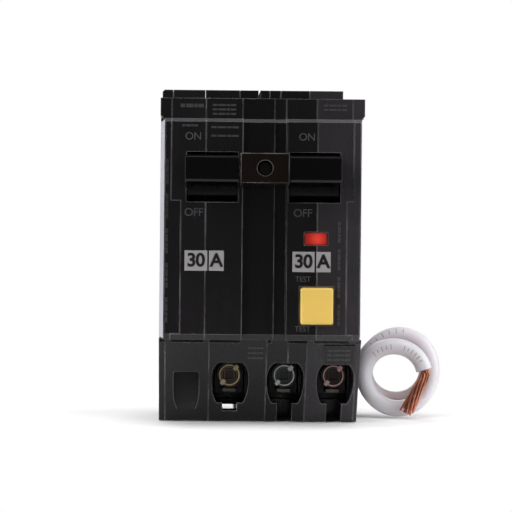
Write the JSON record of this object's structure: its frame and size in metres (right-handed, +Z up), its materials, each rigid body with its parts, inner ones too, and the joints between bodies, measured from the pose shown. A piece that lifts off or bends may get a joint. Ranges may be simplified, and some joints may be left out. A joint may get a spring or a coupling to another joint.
{
  "type": "two-pole ground-fault circuit breaker",
  "caption": "Plug-on moulded-case breaker with tied rocker handles, test button, indicator lens, screw terminals and a coiled neutral pigtail.",
  "frame": {"origin": "centre of the rear face, halfway between the line end and the load end", "axes": "+X right, +Y into the panel, +Z up towards the line end; the front faces -Y"},
  "size_m": [0.0744, 0.0744, 0.0861],
  "materials": {
    "case": "moulded satin black",
    "handle": "glossy black",
    "tie": "brownish black",
    "label": "printed white film",
    "button": "moulded yellow",
    "lens": "translucent red",
    "copper": "bright copper",
    "steel": "zinc plated",
    "brass": "plated brass",
    "insulation": "white insulation",
    "wire": "black plastic",
    "board": "green board",
    "fibre": "grey-brown fibre",
    "ferrite": "coated core"
  },
  "bodies": {
    "case": {"left_cover": "case", "left_pole_case": "case", "left_inner_case": "case", "centre_case": "case", "centre_plate": "case", "right_inner_case": "case", "right_pole_case": "case", "right_cover": "case", "side_label_left": "label", "side_label_right": "label", "rivet_line_rear": "steel", "rivet_line_front": "steel", "rivet_load_rear": "steel", "rivet_load_front": "steel", "handle_shaft": "steel", "line_jaw_left": "copper", "braid_left": "copper", "arc_chute_left": "fibre", "bimetal_left": "brass", "magnet_yoke_left": "steel", "line_jaw_right": "copper", "braid_right": "copper", "arc_chute_right": "fibre", "bimetal_right": "brass", "magnet_yoke_right": "steel", "lug_load_a": "steel", "lug_neutral": "steel", "lug_load_b": "steel", "sensor_toroid": "ferrite", "circuit_board": "board", "trip_solenoid": "copper", "load_lead_a": "wire", "load_lead_b": "wire", "neutral_lead": "wire", "indicator_lens": "lens", "pigtail_wire": "insulation", "pigtail_copper": "copper"},
    "handles": {"handle_left": "handle", "handle_right": "handle", "handle_tie": "tie", "tie_pin": "handle"},
    "arm_left": {"contact_arm_left": "copper", "toggle_spring_left": "steel"},
    "cradle_left": {"cradle_left": "steel"},
    "armature_left": {"armature_left": "steel"},
    "arm_right": {"contact_arm_right": "copper", "toggle_spring_right": "steel"},
    "cradle_right": {"cradle_right": "steel"},
    "armature_right": {"armature_right": "steel"},
    "trip_bar": {"trip_bar": "wire"},
    "plunger": {"solenoid_plunger": "steel"},
    "button": {"test_button": "button"},
    "leaf": {"test_leaf_spring": "brass"},
    "clamp_load_a": {"clamp_plate_load_a": "steel"},
    "screw_load_a": {"terminal_screw_load_a": "brass"},
    "clamp_neutral": {"clamp_plate_neutral": "steel"},
    "screw_neutral": {"terminal_screw_neutral": "steel"},
    "clamp_load_b": {"clamp_plate_load_b": "steel"},
    "screw_load_b": {"terminal_screw_load_b": "copper"}
  },
  "joints": [
    {"name": "handle_swing", "type": "hinge", "parent": "case", "child": "handles", "pos_m": [0, -0.046, 0.0188], "axis": [1, 0, 0], "range_deg": [-10.8, 17]},
    {"name": "contact_arm_left_swing", "type": "hinge", "parent": "case", "child": "arm_left", "pos_m": [-0.0124, -0.037, 0.0155], "axis": [1, 0, 0], "range_deg": [-15.8, 10.1], "deforming": ["toggle_spring_left"]},
    {"name": "contact_arm_right_swing", "type": "hinge", "parent": "case", "child": "arm_right", "pos_m": [0.01275, -0.037, 0.0155], "axis": [1, 0, 0], "range_deg": [-15.8, 10.1], "deforming": ["toggle_spring_right"]},
    {"name": "cradle_left_reset", "type": "hinge", "parent": "case", "child": "cradle_left", "pos_m": [-0.0124, -0.04, 0.008], "axis": [1, 0, 0], "range_deg": [0, 12]},
    {"name": "cradle_right_reset", "type": "hinge", "parent": "case", "child": "cradle_right", "pos_m": [0.01275, -0.04, 0.008], "axis": [1, 0, 0], "range_deg": [0, 12]},
    {"name": "armature_left_pull", "type": "hinge", "parent": "case", "child": "armature_left", "pos_m": [-0.0124, -0.027, 0.004], "axis": [1, 0, 0], "range_deg": [0, 4.5]},
    {"name": "armature_right_pull", "type": "hinge", "parent": "case", "child": "armature_right", "pos_m": [0.01275, -0.027, 0.004], "axis": [1, 0, 0], "range_deg": [0, 4.5]},
    {"name": "solenoid_stroke", "type": "slide", "parent": "case", "child": "plunger", "axis": [0, 0, -1], "range_m": [0, 0.0021]},
    {"name": "trip_bar_turn", "type": "hinge", "parent": "case", "child": "trip_bar", "pos_m": [0, -0.014, 0.008], "axis": [1, 0, 0], "range_deg": [0, 8]},
    {"name": "test_press", "type": "slide", "parent": "case", "child": "button", "axis": [0, 1, 0], "range_m": [0, 0.0016]},
    {"name": "test_leaf_bend", "type": "hinge", "parent": "case", "child": "leaf", "pos_m": [0.01345, -0.0486, -0.0173], "axis": [-1, 0, 0], "range_deg": [0, 11.6]},
    {"name": "clamp_load_a_close", "type": "slide", "parent": "case", "child": "clamp_load_a", "axis": [0, 1, 0], "range_m": [0, 0.0024]},
    {"name": "screw_load_a_turn", "type": "hinge", "parent": "clamp_load_a", "child": "screw_load_a", "pos_m": [-0.0073, -0.029, -0.03115], "axis": [0, 1, 0], "range_deg": [0, 1080]},
    {"name": "clamp_neutral_close", "type": "slide", "parent": "case", "child": "clamp_neutral", "axis": [0, 1, 0], "range_m": [0, 0.0024]},
    {"name": "screw_neutral_turn", "type": "hinge", "parent": "clamp_neutral", "child": "screw_neutral", "pos_m": [0.00675, -0.029, -0.03115], "axis": [0, 1, 0], "range_deg": [0, 1080]},
    {"name": "clamp_load_b_close", "type": "slide", "parent": "case", "child": "clamp_load_b", "axis": [0, 1, 0], "range_m": [0, 0.0024]},
    {"name": "screw_load_b_turn", "type": "hinge", "parent": "clamp_load_b", "child": "screw_load_b", "pos_m": [0.0194, -0.029, -0.03115], "axis": [0, 1, 0], "range_deg": [0, 1080]}
  ],
  "couplings": [
    {"joint": "contact_arm_left_swing", "follows": "handle_swing", "ratio": -0.926},
    {"joint": "contact_arm_right_swing", "follows": "handle_swing", "ratio": -0.926},
    {"joint": "cradle_right_reset", "follows": "cradle_left_reset", "ratio": 1},
    {"joint": "trip_bar_turn", "follows": "solenoid_stroke", "rad_per_m": 66.4},
    {"joint": "test_leaf_bend", "follows": "test_press", "rad_per_m": 125},
    {"joint": "screw_load_a_turn", "follows": "clamp_load_a_close", "rad_per_m": 7853.9},
    {"joint": "screw_neutral_turn", "follows": "clamp_neutral_close", "rad_per_m": 7853.9},
    {"joint": "screw_load_b_turn", "follows": "clamp_load_b_close", "rad_per_m": 7853.9}
  ]
}
